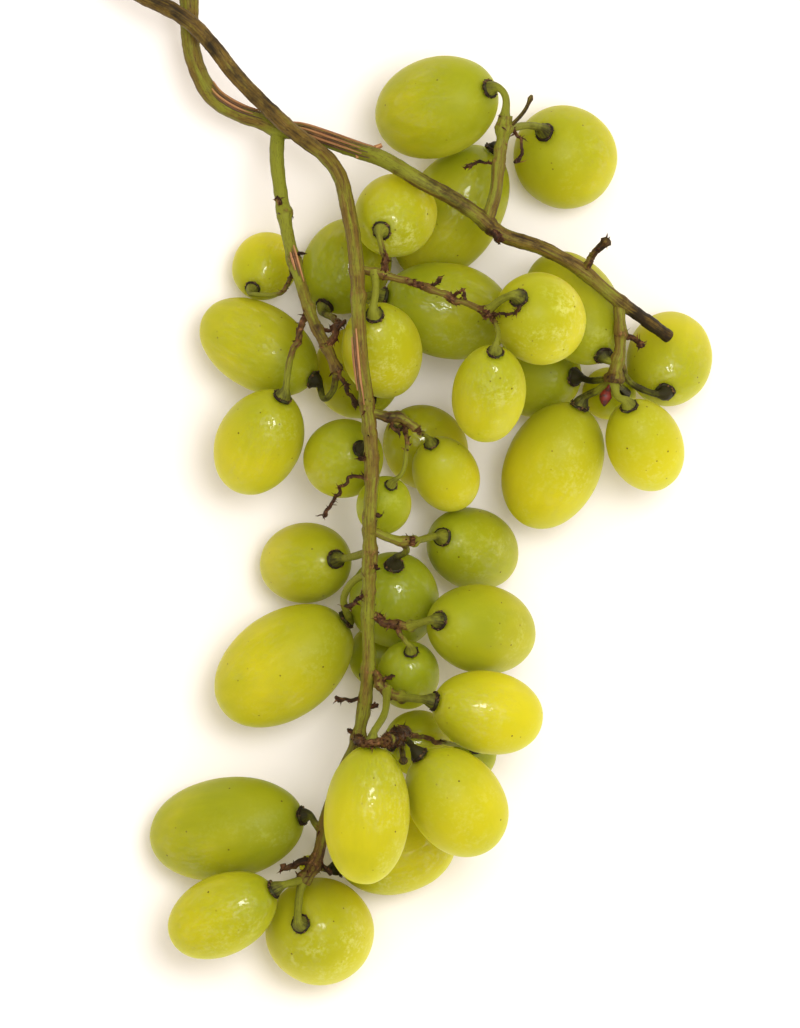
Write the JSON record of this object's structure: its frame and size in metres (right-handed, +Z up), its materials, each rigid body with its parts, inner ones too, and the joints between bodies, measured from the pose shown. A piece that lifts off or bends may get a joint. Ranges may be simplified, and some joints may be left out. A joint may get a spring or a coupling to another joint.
{
  "type": "bunch of grapes",
  "caption": "Bunch of plump yellow-green grapes on a branching woody stem, lying on its side, with each grape and the stem as its own solid.",
  "frame": {"origin": "middle of the bunch's outline seen from above, on the surface that it lies on", "axes": "+Z up from that surface, +Y along the bunch towards its cut stalk, +X across it"},
  "size_m": [0.1306, 0.2196, 0.0536],
  "materials": {
    "grape_skin": "thin translucent yellow-green skin with a soft gloss and a pale waxy bloom",
    "woody_stem": "matt olive-brown bark with dry brown streaks and dark pedicel caps"
  },
  "bodies": {
    "root": {"stem": "woody_stem", "grape_01": "grape_skin", "grape_02": "grape_skin", "grape_03": "grape_skin", "grape_04": "grape_skin", "grape_05": "grape_skin", "grape_06": "grape_skin", "grape_07": "grape_skin", "grape_08": "grape_skin", "grape_09": "grape_skin", "grape_10": "grape_skin", "grape_11": "grape_skin", "grape_12": "grape_skin", "grape_13": "grape_skin", "grape_14": "grape_skin", "grape_15": "grape_skin", "grape_16": "grape_skin", "grape_17": "grape_skin", "grape_18": "grape_skin", "grape_19": "grape_skin", "grape_20": "grape_skin", "grape_21": "grape_skin", "grape_22": "grape_skin", "grape_23": "grape_skin", "grape_24": "grape_skin", "grape_25": "grape_skin", "grape_26": "grape_skin", "grape_27": "grape_skin", "grape_28": "grape_skin", "grape_29": "grape_skin", "grape_30": "grape_skin", "grape_31": "grape_skin", "grape_32": "grape_skin", "grape_33": "grape_skin", "grape_34": "grape_skin", "grape_35": "grape_skin", "grape_36": "grape_skin", "grape_37": "grape_skin", "grape_38": "grape_skin", "grape_39": "grape_skin", "grape_40": "grape_skin"}
  },
  "joints": []
}
